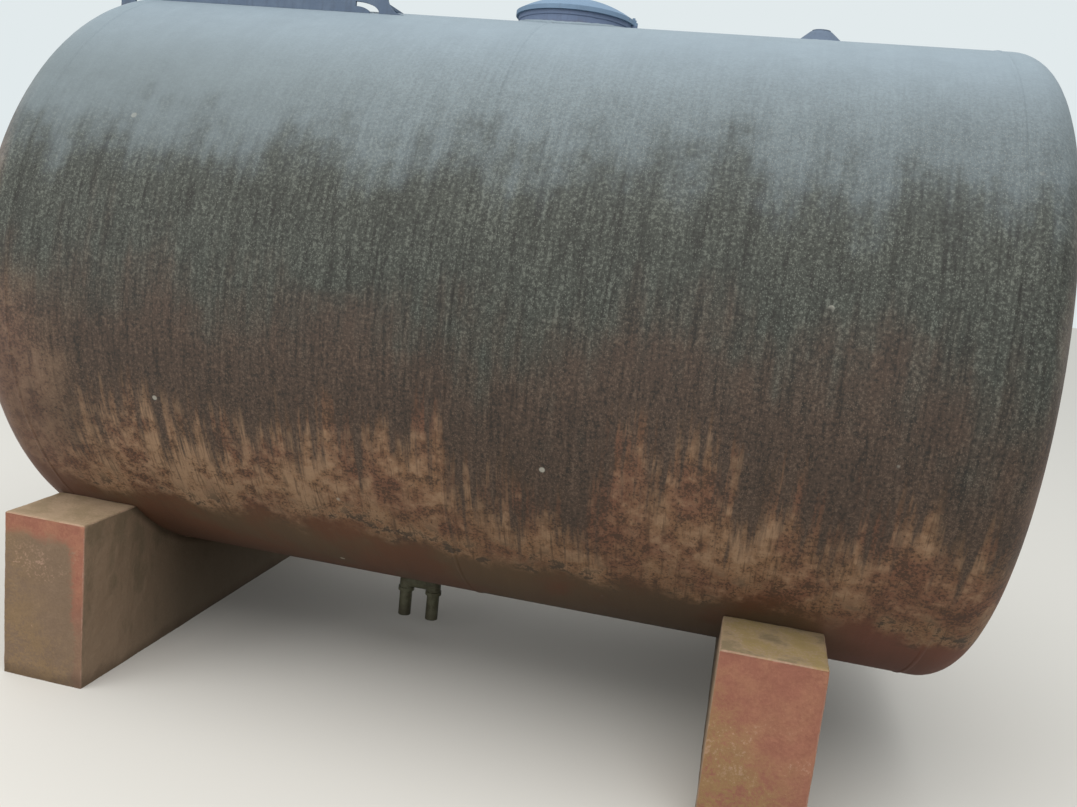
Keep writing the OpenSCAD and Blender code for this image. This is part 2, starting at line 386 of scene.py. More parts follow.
@dataclass(frozen=True)
class Weather:
    """Noises that the layers of the shell's paint share, all read at one place."""

    tree: ShaderTree
    place: Wire
    x: Wire
    height: Wire
    broad: Wire
    patch: Wire
    blot: Wire
    bands: Wire
    runs: Wire
    threads: Wire
    grain: Wire
    specks: Wire

    @classmethod
    def read(cls, g: ShaderTree) -> Weather:
        """Adds the noises to a tree.

        Args:
            g: Tree of the shell's material.

        Returns:
            The noises, from broad ones of most of a metre down to grain of a few millimetres.
        """
        place = g.place()
        x, _, z = g.parts(place)
        knuckle = (TANGENT_X + 0.03, TANGENT_X + 0.11)
        head = x.size().rise(*knuckle)
        return cls(
            tree=g,
            place=place,
            x=x,
            height=z - AXIS_Z,
            broad=g.noise(place, 1.3, 3.0),
            patch=g.noise(place, 5.5, 4.0, 0.6),
            blot=g.noise(place, 19.0, 4.0, 0.65),
            bands=g.streaks(place, head, 8.0, 0.6, 3.0),
            runs=g.streaks(place, head, 30.0, 2.2, 4.0),
            threads=g.streaks(place, head, 85.0, 6.0, 3.0),
            grain=g.noise(place, 115.0, 4.0, 0.7),
            specks=g.cells(g.stretch(place, (1.0, 0.65, 0.65)), 220.0).rise(0.4, 0.1),
        )

    def from_end(self, side: Side, near: float, far: float) -> Wire:
        """Share that grows towards one end of the tank.

        Args:
            side: The end.
            near: Distance from mid-tank at which it starts.
            far: Distance at which it is full.

        Returns:
            The share, with a ragged start.
        """
        return (self.x * float(side.value) + self.patch.sway(0.35)).rise(near, far)


@dataclass(frozen=True)
class ShellPaint:
    """Red oxide paint on the shell under dark growth, pale on the crown with dust and painted sky sheen.

    Heights are over the tank's axis, and a span runs from where a layer starts to where it is full.
    """

    # Crown colours: dust, with painted sky sheen that makes them paler and bluer towards the top.
    dust: Colour = paint(112, 122, 125)
    dust_and_sheen_pale: Colour = paint(134, 147, 155)
    growth: Colour = paint(61, 63, 56)
    growth_warm: Colour = paint(76, 60, 50)
    growth_deep: Colour = paint(36, 33, 28)
    speck: Colour = paint(130, 133, 122)
    speck_warm: Colour = paint(134, 114, 96)
    oxide: Colour = paint(142, 108, 80)
    oxide_pale: Colour = paint(180, 148, 118)
    oxide_red: Colour = paint(126, 88, 68)
    run: Colour = paint(60, 46, 36)
    belly: Colour = paint(104, 68, 46)
    belly_brown: Colour = paint(98, 77, 55)
    belly_red: Colour = paint(122, 74, 60)
    # Head colours: the upper one is paint greyed by painted sky sheen, the lower one is the paint.
    end_paint_and_sheen: Colour = paint(122, 108, 102)
    end_low: Colour = paint(112, 88, 78)
    fleck: Colour = paint(196, 192, 178)
    dust_and_sheen_crisp: Span = (0.37, 0.6)
    dust_and_sheen_soft: Span = (0.32, 0.72)
    slope: Span = (0.93, 0.6)
    drips_height: float = -0.37
    crust: Span = (-0.5, -0.6)
    belly_top: Span = (-0.68, -0.6)
    growth_foot: Span = (-0.72, -0.62)
    end_span: Span = (TANGENT_X, TANGENT_X + 0.07)
    flecks_per_metre: float = 7.0
    flecks_shift: Point = (3.7, 1.1, 0.4)

    def _rust(self, w: Weather) -> Wire:
        """Bare red oxide with thin dark runs, down to a crusty edge over the belly.

        Args:
            w: The shared noises.

        Returns:
            The colour.
        """
        g = w.tree
        rust = g.blend(w.patch.rise(0.36, 0.62), self.oxide_red, self.oxide)
        aged = w.from_end(Side.LEFT, 0.1, 0.9) * 0.05
        rust = g.blend((w.blot * 0.6 + w.patch * 0.4 + aged).rise(0.46, 0.64) * 0.75, rust, self.oxide_pale)
        thin = (w.threads * 0.6 + w.runs * 0.25 + w.blot * 0.15).rise(0.48, 0.38)
        rust = g.blend(thin * (w.grain + w.patch - 0.5).rise(0.36, 0.56) * 0.6, rust, self.run)
        crumbs = (w.grain + w.blot.sway(0.7) + w.patch.sway(0.5)).rise(0.5, 0.34)
        rust = g.blend(crumbs * 0.75, rust, self.run)
        edge = w.height + w.broad.sway(0.3) + w.patch.sway(0.22) + w.blot.sway(0.08)
        crust = (w.blot + w.grain.sway(0.4)).rise(0.52, 0.6) * edge.rise(*self.crust)
        rust = g.blend(crust * w.patch.rise(0.44, 0.54) * 0.85, rust, self.growth_deep)
        return g.blend(edge.rise(*self.belly_top), self._belly(w), rust)

    def _belly(self, w: Weather) -> Wire:
        """Smooth brown belly, red at its right end, darker towards the bottom as painted shade, and darker
        just left of the right pier with damp and painted shade.

        Args:
            w: The shared noises.

        Returns:
            The colour.
        """
        g = w.tree
        belly = g.blend((w.broad + w.patch.sway(0.5)).rise(0.42, 0.6), self.belly, self.belly_brown)
        belly = g.blend(w.from_end(Side.RIGHT, 0.95, 1.25) * 0.8, belly, self.belly_red)
        # Painted shade: the belly is darker towards the bottom.
        belly = g.tint(belly, w.height.rise(-0.66, -0.95), g.grey(w.broad, 0.5, 0.76))
        # Damp and painted shade: darker just left of the right pier.
        damp_and_shade = w.x.rise(0.2, 0.5) * w.x.rise(1.12, 0.95) * w.height.rise(-0.5, -0.7)
        return g.tint(belly, damp_and_shade, g.grey(w.patch, 0.66, 0.86))

    def _growth(self, w: Weather) -> Wire:
        """Dark growth with pale specks, greenish above and brown below.

        Args:
            w: The shared noises.

        Returns:
            The colour.
        """
        g = w.tree
        ragged = w.broad.sway(0.5) + w.patch.sway(0.5) + w.bands.sway(0.5) + w.runs.sway(0.3)
        warm = (w.height + ragged).rise(0.24, -0.14)
        dark = g.blend(warm * 0.9, self.growth, self.growth_warm)
        dark = g.blend((w.threads * 0.6 + w.runs * 0.4).rise(0.5, 0.34) * 0.5, dark, self.growth_deep)
        dark = g.blend((w.grain + w.threads.sway(0.4)).rise(0.52, 0.34) * 0.8, dark, self.growth_deep)
        dots = g.blend(warm, self.speck, self.speck_warm)
        thick = (w.grain + w.patch.sway(0.5) + w.runs.sway(0.3)).rise(0.32, 0.58)
        crumbs = (w.grain + w.threads.sway(0.5)).rise(0.54, 0.66) * 0.6
        return g.blend(w.specks.most(crumbs) * thick * (0.56 - warm * 0.06), dark, dots)

    def _cover(self, w: Weather, end: Wire, bare: Wire) -> Wire:
        """Share of the growth over the bare paint, with drips along its lower edge.

        Args:
            w: The shared noises.
            end: Share of the heads.
            bare: Share of the bare paint at the left end.

        Returns:
            The share.
        """
        reach = w.runs.sway(1.4) + w.threads.sway(1.4) + w.bands.sway(2.4) + w.broad.sway(1.2)
        height = w.height - self.drips_height - end * 0.2
        cover = (height * 2.6 + reach).rise(-0.28, 0.34) * (1.0 - end * 0.35)
        return cover * (1.0 - bare * 0.7)

    def _crown(self, w: Weather) -> Wire:
        """Share of the pale crown, dust and painted sky sheen, from a crisp edge and a soft one.

        Args:
            w: The shared noises.

        Returns:
            The share.
        """
        fall = w.bands.sway(0.4) + w.patch.sway(0.35) + w.blot.sway(0.15) + w.runs.sway(0.1)
        level = w.height - w.x * 0.02
        crisp = (level + fall).rise(*self.dust_and_sheen_crisp)
        soft = (level + fall * 0.4).rise(*self.dust_and_sheen_soft)
        return crisp * 0.45 + soft * 0.55

    def _dust_and_sheen(self, w: Weather) -> Wire:
        """Pale crown of dust and painted sky sheen that grows paler towards the top, marked by rain where
        its slope begins.

        Args:
            w: The shared noises.

        Returns:
            The colour.
        """
        g = w.tree
        # Painted sky sheen: paler towards the top of the crown.
        pale = g.blend(w.height.rise(0.62, 0.96), self.dust, self.dust_and_sheen_pale)
        slope = w.height.rise(*self.slope)
        pale = g.tint(pale, w.x.rise(-0.4, 1.3) * slope, g.grey(w.patch, 0.76, 0.9))
        pale = g.tint(pale, 1.0, g.grey(w.blot * 0.5 + w.patch * 0.5, 0.84, 1.14))
        fine = (w.grain * 0.7 + w.threads * 0.3).rise(0.34, 0.62)
        rainy = slope * w.x.rise(-1.1, 0.1)
        pale = g.tint(pale, rainy, g.grey(fine, 0.8, 1.12))
        return g.blend(w.specks * rainy * 0.14, pale, self.fleck)

    def build(self) -> bpy.types.Material:
        """Makes the material.

        Returns:
            The paint that shell, heads and girth welds share.
        """
        g = ShaderTree.named("shell_paint_weathered")
        w = Weather.read(g)
        past = w.x.size() + w.patch.sway(0.06) - w.x.rise(0.0, 1.0) * 0.06
        end = past.rise(*self.end_span) * w.x.rise(0.0, 1.0, 1.0, 0.6)
        bare = w.from_end(Side.LEFT, 1.12, 1.4) * w.height.rise(0.12, -0.2)
        crown = self._crown(w)

        rust = g.blend(bare * 0.6, self._rust(w), self.end_low)
        above = (w.height + w.patch.sway(0.2)).rise(*self.growth_foot)
        colour = g.blend(self._cover(w, end, bare) * above, rust, self._growth(w))
        # Painted sky sheen: the heads are greyer higher up.
        end_and_sheen_colour = g.blend(w.height.rise(0.15, -0.25), self.end_paint_and_sheen, self.end_low)
        patchy = (w.patch * 0.5 + w.runs * 0.5).rise(0.36, 0.56, 0.3, 0.85)
        colour = g.blend(end * w.height.rise(0.55, 0.1) * patchy, colour, end_and_sheen_colour)
        # Pale crown of dust and painted sky sheen.
        colour = g.blend(crown * 0.93, colour, self._dust_and_sheen(w))
        streak = g.grey(w.runs * 0.3 + w.bands * 0.5 + w.threads * 0.2, 0.66, 1.34)
        colour = g.tint(colour, 1.0 - crown * 0.75, streak)
        colour = g.tint(colour, 1.0 - crown * 0.7, g.grey(w.grain, 0.68, 1.32))
        flecks = g.cells(g.shift(w.place, self.flecks_shift), self.flecks_per_metre).rise(0.075, 0.05)
        colour = g.blend(flecks * w.patch.rise(0.5, 0.62) * (1.0 - crown) * 0.8, colour, self.fleck)

        rough = 0.6 + w.grain * 0.28 - end * 0.14
        flake = g.bump(w.broad + w.blot * 0.14, 0.012, 0.4)
        normal = g.bump(w.grain, 0.0016, 0.75, flake)
        return g.finish(colour, rough, normal, gloss=0.45)


@dataclass(frozen=True)
class FadedSteel:
    """Faded slate paint on a steel fitting, with rust at its foot and painted sky light on its upward
    faces.
    """

    name: str
    face: Colour
    worn: Colour
    grime: Colour
    rust: Colour = paint(96, 82, 74)
    foot_z: float = CROWN_Z - 0.03
    rust_height: float = 0.03

    def build(self) -> bpy.types.Material:
        """Makes the material.

        Returns:
            The faded paint.
        """
        g = ShaderTree.named(self.name)
        place = g.place()
        _, _, z = g.parts(place)
        _, _, up = g.facing()
        patch = g.noise(place, 14.0, 4.0, 0.6)
        runs = g.noise(g.stretch(place, (60.0, 60.0, 8.0)), 1.0, 3.0)
        grain = g.noise(place, 130.0, 3.0, 0.6)
        colour = g.blend(patch.rise(0.4, 0.7), self.face, self.worn)
        colour = g.blend((runs + grain * 0.4).rise(0.68, 0.48) * 0.4, colour, self.grime)
        # Painted sky light: upward faces are lighter.
        colour = g.blend(up.rise(0.2, 0.9) * 0.4, colour, self.worn)
        low = (z + patch.sway(0.04)).rise(self.foot_z + self.rust_height, self.foot_z)
        spots = (patch + grain * 0.6).rise(0.98, 1.06)
        colour = g.blend(low.most(spots) * 0.6, colour, self.rust)
        rough = 0.55 + grain * 0.3
        normal = g.bump(grain * 0.5 + patch * 0.5, 0.0015, 0.6)
        return g.finish(colour, rough, normal, gloss=0.4)


# Lit and shaded copies of one slate paint: the neck darker as painted shade under the cover, the cover
# lighter as painted sky light, and the vent darker as painted shade to offset the light on its upward
# faces.
NECK_STEEL_SHADED = FadedSteel("neck_steel_shaded", paint(99, 113, 138), paint(105, 119, 144), paint(88, 99, 120))
COVER_STEEL_LIT = FadedSteel("cover_steel_lit", paint(106, 128, 150), paint(111, 134, 156), paint(94, 110, 130))
VENT_STEEL_SHADED = FadedSteel("vent_steel_shaded", paint(84, 97, 115), paint(90, 104, 121), paint(66, 74, 86))
CRADLE_STEEL = FadedSteel(
    "cradle_steel_faded",
    paint(84, 98, 117),
    paint(92, 106, 124),
    paint(74, 84, 99),
    foot_z=CROWN_Z - 0.09,
)


@dataclass(frozen=True)
class DustyShadedPipe:
    """Old galvanised pipe under olive grey dust, darker all over as painted shade under the tank."""

    # Pipe colours, set darker as painted shade under the tank.
    face: Colour = paint(94, 92, 70)
    zinc: Colour = paint(112, 110, 88)
    mud: Colour = paint(66, 60, 44)

    def build(self) -> bpy.types.Material:
        """Makes the material.

        Returns:
            The dusty pipe's finish, with its painted shade.
        """
        g = ShaderTree.named("outlet_pipe_dusty_shaded")
        place = g.place()
        _, _, z = g.parts(place)
        patch = g.noise(place, 22.0, 4.0, 0.6)
        grain = g.noise(place, 160.0, 3.0)
        scratch = g.noise(g.stretch(place, (240.0, 240.0, 14.0)), 1.0, 2.0)
        colour = g.blend(patch.rise(0.45, 0.7), self.face, self.zinc)
        colour = g.blend((grain + (patch - 0.5)).rise(0.5, 0.35) * 0.7, colour, self.mud)
        colour = g.blend((z + patch.sway(0.08)).rise(0.13, 0.05) * 0.7, colour, self.mud)
        rough = 0.5 + grain * 0.35
        normal = g.bump(grain * 0.6 + scratch * 0.4, 0.0012, 0.6)
        return g.finish(colour, rough, normal, gloss=0.5)


@dataclass(frozen=True)
class PierWeather:
    """Places and noises that the layers of a pier's plaster share."""

    tree: ShaderTree
    across: Wire
    y: Wire
    z: Wire
    top_gap: Wire
    broad: Wire
    patch: Wire
    trowel: Wire
    grain: Wire

    @classmethod
    def read(cls, g: ShaderTree, x: float, top: float) -> PierWeather:
        """Adds the places and the noises to a tree.

        Args:
            g: Tree of the pier's material.
            x: Middle of the pier along the tank.
            top: Height of the pier.

        Returns:
            The places, and the noises from a third of a metre down to a few millimetres.
        """
        place = g.place()
        along, y, z = g.parts(place)
        return cls(
            tree=g,
            across=along - x,
            y=y,
            z=z,
            top_gap=top - z,
            broad=g.noise(place, 3.2, 3.0),
            patch=g.noise(place, 9.0, 4.0, 0.6),
            trowel=g.noise(g.stretch(place, (14.0, 14.0, 5.0)), 1.0, 4.0, 0.6),
            grain=g.noise(place, 120.0, 4.0, 0.65),
        )


@dataclass(frozen=True)
class PierPlaster:
    """Red painted plaster: salmon along its arrises, dusty on its faces and mossy on top, its top lightened
    as painted light, with painted shade along the shell and damp and painted shade under the tank.

    A span runs from where a layer starts to where it is full: parts of a direction for facing, metres
    from an edge, the shell or the ground for the others.
    """

    name: str
    x: float
    width: float
    length: float
    top: float
    dust_share: float
    moss_share: float
    front: Colour = paint(156, 104, 86)
    front_pale: Colour = paint(168, 118, 94)
    dust: Colour = paint(128, 110, 90)
    ochre: Colour = paint(152, 124, 84)
    flank: Colour = paint(156, 133, 110)
    flank_stain: Colour = paint(118, 108, 86)
    # Damp and painted shade on the flanks under the tank.
    flank_damp_shade: Colour = paint(88, 78, 64)
    # Top colours: cap and moss lightened as painted light against the shade that the tank casts on them.
    cap: Colour = paint(170, 146, 120)
    cap_dark: Colour = paint(150, 130, 104)
    moss: Colour = paint(150, 130, 84)
    moss_dark: Colour = paint(108, 98, 70)
    arris: Colour = paint(188, 152, 132)
    # Dark seat colour: painted shade where the plaster meets the shell, also used for the darker foot.
    damp_and_shade: Colour = paint(72, 58, 46)
    facing: Span = (0.5, 0.8)
    strip: Span = (0.035, 0.09)
    worn: Span = (0.008, 0.002)
    contact: Span = (0.03, 0.004)
    foot: Span = (0.05, 0.0)

    def _front(self, p: PierWeather) -> Wire:
        """Worn salmon paint of the end faces under dust, ochre splashes and scuffs.

        Args:
            p: The shared places and noises.

        Returns:
            The colour.
        """
        g = p.tree
        bare = g.blend((p.patch + p.grain * 0.3).rise(0.5, 0.8), self.front, self.front_pale)
        wobble = p.patch.sway(0.06) + p.grain.sway(0.05)
        right_gap = self.width / 2 - p.across
        inside = (right_gap + wobble + p.top_gap * 0.1).rise(*self.strip)
        field = (p.top_gap + wobble).rise(0.03, 0.12) * inside
        dusty = (field * self.dust_share + p.broad.sway(0.4) + p.patch.sway(0.3)).rise(0.06, 0.7)
        dusty = dusty.most(p.top_gap.rise(0.2, 0.42) * self.dust_share)
        colour = g.blend(dusty * 0.9, bare, self.dust)
        splash = (p.top_gap + p.broad.sway(0.4) + p.patch.sway(0.3) - p.across * 1.3).rise(0.14, 0.5)
        splash = splash * (p.grain + p.patch - 0.5).rise(0.34, 0.6) * (0.85 - self.dust_share * 0.6)
        colour = g.blend(splash, colour, self.ochre)
        scuffs = (p.patch * 0.5 + p.grain * 0.5 + p.broad.sway(0.3)).rise(0.58, 0.66)
        scuffs = scuffs * p.top_gap.rise(0.06, 0.16) * p.top_gap.rise(0.5, 0.3)
        return g.blend(scuffs * 0.5, colour, self.arris)

    def _flank(self, p: PierWeather) -> Wire:
        """Bleached side faces with trowelled stains, darker under the tank with damp and painted shade.

        Args:
            p: The shared places and noises.

        Returns:
            The colour.
        """
        g = p.tree
        stains = (p.trowel * 0.5 + p.patch * 0.5 + p.top_gap * 0.25).rise(0.56, 0.44)
        colour = g.blend(stains * 0.45, self.flank, self.flank_stain)
        return g.blend(p.y.size().rise(0.86, 0.3) * 0.8, colour, self.flank_damp_shade)

    def _cap(self, p: PierWeather) -> Wire:
        """Sandy top with as much moss as the pier's share of it, its colours lightened as painted light.

        Args:
            p: The shared places and noises.

        Returns:
            The colour.
        """
        g = p.tree
        colour = g.blend((p.patch + p.grain.sway(0.6)).rise(0.4, 0.62), self.cap, self.cap_dark)
        mossy = (p.broad * 0.5 + p.patch * 0.5 + p.grain.sway(0.4)).rise(0.4, 0.62)
        colour = g.blend(mossy * self.moss_share, colour, self.moss)
        blots = (p.patch + p.grain.sway(0.16) + p.broad.sway(0.4)).rise(0.52, 0.36)
        return g.blend(blots * self.moss_share * 0.8, colour, self.moss_dark)

    def build(self) -> bpy.types.Material:
        """Makes the material.

        Returns:
            The plaster of one pier.
        """
        g = ShaderTree.named(self.name)
        p = PierWeather.read(g, self.x, self.top)
        _, ny, nz = g.facing()
        cap = nz.rise(*self.facing)
        colour = g.blend(ny.size().rise(*self.facing), self._flank(p), self._front(p))
        colour = g.blend(cap, colour, self._cap(p))
        side_gap = self.width / 2 - p.across.size()
        end_gap = self.length / 2 - p.y.size()
        near_edge = side_gap.most(end_gap).least(side_gap.most(p.top_gap)).least(end_gap.most(p.top_gap))
        worn = (near_edge + p.grain.sway(0.012) + p.patch.sway(0.012)).rise(*self.worn)
        colour = g.blend(worn * 0.6, colour, self.arris)
        # Painted shade where the plaster meets the shell.
        arm = g.node("ShaderNodeCombineXYZ", {}, {1: p.y, 2: p.z - AXIS_Z})
        from_shell = g.node("ShaderNodeVectorMath", {"operation": "LENGTH"}, {0: arm}, "Value") - TANK_R
        contact = (from_shell + p.patch.sway(0.02)).rise(*self.contact) * (1.0 - cap)
        colour = g.blend(contact * 0.75, colour, self.damp_and_shade)
        # Darker towards the ground.
        foot = (p.z + p.patch.sway(0.06)).rise(*self.foot)
        colour = g.blend(foot * 0.5, colour, self.damp_and_shade)
        colour = g.tint(colour, 1.0, g.grey(p.grain * 0.6 + p.trowel * 0.4, 0.74, 1.26))

        rough = 0.82 + p.grain * 0.14
        normal = g.bump(p.trowel, 0.006, 0.5)
        normal = g.bump(p.grain, 0.0018, 0.7, normal)
        return g.finish(colour, rough, normal, gloss=0.2)


class Bench:
    """Modelling steps that the pieces share."""

    @staticmethod
    def clear() -> None:
        """Leaves edit mode and deselects everything."""
        if bpy.context.object and bpy.context.object.mode != "OBJECT":
            bpy.ops.object.mode_set(mode="OBJECT")
        bpy.ops.object.select_all(action="DESELECT")

    @staticmethod
    def pick(piece: bpy.types.Object) -> None:
        """Selects one piece alone and makes it active.

        Args:
            piece: The piece.
        """
        Bench.clear()
        piece.select_set(True)
        bpy.context.view_layer.objects.active = piece

    @staticmethod
    def every(item: object) -> bool:
        """Chooses every vertex, edge or face."""
        return True

    @staticmethod
    def take(name: str) -> bpy.types.Object:
        """Names the primitive just added.

        Args:
            name: Name of the piece.

        Returns:
            The new object.
        """
        piece = bpy.context.object
        piece.name = name
        piece.data.name = name
        return piece

    @staticmethod
    def settle(piece: bpy.types.Object) -> None:
        """Puts the piece's object at the origin, with its place in its mesh."""
        Bench.pick(piece)
        bpy.ops.object.transform_apply(location=True, rotation=True, scale=True)

    @staticmethod
    def modify(piece: bpy.types.Object, kind: str, **settings: object) -> None:
        """Adds a modifier and applies it.

        Args:
            piece: Piece to change.
            kind: Type of the modifier.
            **settings: Its attributes.
        """
        Bench.pick(piece)
        modifier = piece.modifiers.new(kind.lower(), kind)
        for name, value in settings.items():
            setattr(modifier, name, value)
        bpy.ops.object.modifier_apply(modifier=modifier.name)

    @staticmethod
    def edit(
        piece: bpy.types.Object,
        kind: Element,
        chosen: Callable[[object], bool],
        step: Callable[[], object],
    ) -> None:
        """Selects part of a mesh and runs one edit step on it.

        Args:
            piece: Piece to change.
            kind: What is chosen: points, edges or faces.
            chosen: Test of each of them.
            step: The operator to run.
        """
        Bench.pick(piece)
        bpy.ops.object.mode_set(mode="EDIT")
        bpy.ops.mesh.select_mode(type=kind.value)
        bpy.ops.mesh.select_all(action="DESELECT")
        bpy.ops.object.mode_set(mode="OBJECT")
        mesh = piece.data
        items = {Element.POINT: mesh.vertices, Element.EDGE: mesh.edges, Element.FACE: mesh.polygons}
        for item in items[kind]:
            item.select = chosen(item)
        bpy.ops.object.mode_set(mode="EDIT")
        step()
        bpy.ops.object.mode_set(mode="OBJECT")

    @staticmethod
    def outward(piece: bpy.types.Object) -> None:
        """Merges doubles and turns all faces outwards."""
        Bench.edit(piece, Element.POINT, Bench.every, lambda: bpy.ops.mesh.remove_doubles(threshold=MERGE))
        Bench.edit(
            piece,
            Element.FACE,
            Bench.every,
            lambda: bpy.ops.mesh.normals_make_consistent(inside=False),
        )

    @staticmethod
    def smooth(piece: bpy.types.Object) -> None:
        """Shades a piece smooth, with its arrises kept sharp."""
        Bench.pick(piece)
        bpy.ops.object.shade_smooth_by_angle(angle=ARRIS_ANGLE)

    @staticmethod
    def drum(name: str, x: float, radius: float, length: float, sides: int) -> bpy.types.Object:
        """Adds a cylinder round the tank's axis.

        Args:
            name: Name of the piece.
            x: Middle of the cylinder along the tank.
            radius: Its radius.
            length: Its length along the tank.
            sides: Facets round it.

        Returns:
            The new object.
        """
        Bench.clear()
        bpy.ops.mesh.primitive_cylinder_add(
            vertices=sides,
            radius=radius,
            depth=length,
            location=(x, 0.0, AXIS_Z),
            rotation=(0.0, math.pi / 2, 0.0),
        )
        return Bench.take(name)

    @staticmethod
    def dress(piece: bpy.types.Object, finish: bpy.types.Material, slot: Slot) -> None:
        """Gives a new piece its finish and its body.

        Args:
            piece: Finished piece.
            finish: Its material.
            slot: Not used.
        """
        piece.data.materials.clear()
        piece.data.materials.append(finish)
        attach(piece, BODY)
        log.info("%s: %d faces", piece.name, len(piece.data.polygons))

    @staticmethod
    def repaint(
        nodes: dict[str, bpy.types.Object],
        names: tuple[str, ...],
        finish: bpy.types.Material,
    ) -> None:
        """Gives nodes of the frame a finish.

        Args:
            nodes: Nodes of the frame by name.
            names: Those to paint.
            finish: Their material.
        """
        for name in names:
            for slot in nodes[name].material_slots:
                slot.material = finish
            log.info("%s: %s", name, finish.name)


@dataclass(frozen=True)
class Relief:
    """Cloud pattern that dents or swells a surface, with sizes in metres."""

    name: str
    size: float
    strength: float
    octaves: int = 3
    level: float = 0.0

    def press(self, piece: bpy.types.Object) -> None:
        """Displaces a piece by the pattern.

        Args:
            piece: Piece to change.
        """
        texture = bpy.data.textures.new(self.name, "CLOUDS")
        texture.noise_scale = self.size
        texture.noise_depth = self.octaves
        Bench.modify(
            piece,
            "DISPLACE",
            texture=texture,
            strength=self.strength,
            mid_level=self.level,
            texture_coords="LOCAL",
        )


@dataclass
class Pier:
    """Plastered pier with worn arrises and a seat bedded to the shell."""

    side: Side
    x: float
    dust_share: float
    moss_share: float
    width: float = 0.295
    length: float = 1.88
    height: float = 0.546
    chamfer: float = 0.006
    arris: float = 0.0015
    bedding: float = 0.003
    sunk: float = 0.03
    grain: float = 0.005
    softening: float = 0.3
    lumps: Relief = Relief("plaster_lumps", 0.22, -0.005)
    chips: Relief = Relief("plaster_chips", 0.035, -0.0025, octaves=4)
    kept: float = 0.5
    seat_sides: int = 256

    @property
    def node(self) -> str:
        """Node of the frame that the pier stands for."""
        return f"pier_{self.side.name.lower()}"

    def build(self) -> bpy.types.Object:
        """Models the pier.

        Returns:
            The finished mesh.
        """
        Bench.clear()
        tall = self.height + self.sunk
        bpy.ops.mesh.primitive_cube_add(size=1.0, location=(self.x, 0.0, self.height - tall / 2))
        block = Bench.take(f"plastered_{self.node}")
        block.scale = (self.width, self.length, tall)
        Bench.settle(block)
        self._ease_edges(block)
        self._cut_seat(block)
        Bench.modify(block, "REMESH", mode="VOXEL", voxel_size=self.grain)
        Bench.modify(block, "SMOOTH", factor=self.softening, iterations=1)
        self.lumps.press(block)
        self.chips.press(block)
        Bench.modify(block, "DECIMATE", ratio=self.kept)
        self._level_foot(block)
        Bench.outward(block)
        Bench.smooth(block)
        return block

    def _ease_edges(self, block: bpy.types.Object) -> None:
        """Chamfers the upper end edges and eases the other arrises.

        Args:
            block: The pier's mesh.
        """
        mesh = block.data
        top = self.height - TOUCH
        reach = self.length / 2 - TOUCH

        def upper_end(edge: bpy.types.MeshEdge) -> bool:
            """Tells whether an edge is one of the two upper end edges."""
            ends = [mesh.vertices[index].co for index in edge.vertices]
            return all(abs(point.y) > reach and point.z > top for point in ends)

        Bench.edit(
            block,
            Element.EDGE,
            upper_end,
            lambda: bpy.ops.mesh.bevel(offset=self.chamfer, segments=1),
        )
        Bench.modify(
            block,
            "BEVEL",
            width=self.arris,
            segments=2,
            limit_method="ANGLE",
            angle_limit=ARRIS_ANGLE,
        )

    def _cut_seat(self, block: bpy.types.Object) -> None:
        """Cuts the seat a little tighter than the shell, so that the plaster meets it.

        Args:
            block: The pier's mesh.
        """
        cutter = Bench.drum(
            "seat_cutter", self.x, TANK_R - self.bedding, length=self.width * 2, sides=self.seat_sides
        )
        Bench.modify(block, "BOOLEAN", operation="DIFFERENCE", object=cutter, solver="EXACT")
        bpy.data.objects.remove(cutter, do_unlink=True)

    def _level_foot(self, block: bpy.types.Object) -> None:
        """Trims the pier level with the ground."""
        Bench.edit(
            block,
            Element.FACE,
            Bench.every,
            lambda: bpy.ops.mesh.bisect(
                plane_co=(0.0, 0.0, 0.0), plane_no=(0.0, 0.0, 1.0), use_fill=True, clear_inner=True
            ),
        )

    def dress(self, block: bpy.types.Object) -> None:
        """Gives the pier its plaster.

        Args:
            block: The pier's mesh.
        """
        finish = PierPlaster(
            name=f"{self.node}_plaster",
            x=self.x,
            width=self.width,
            length=self.length,
            top=self.height,
            dust_share=self.dust_share,
            moss_share=self.moss_share,
        )
        Bench.dress(block, finish.build(), Slot.PIER)
        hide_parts(self.node)


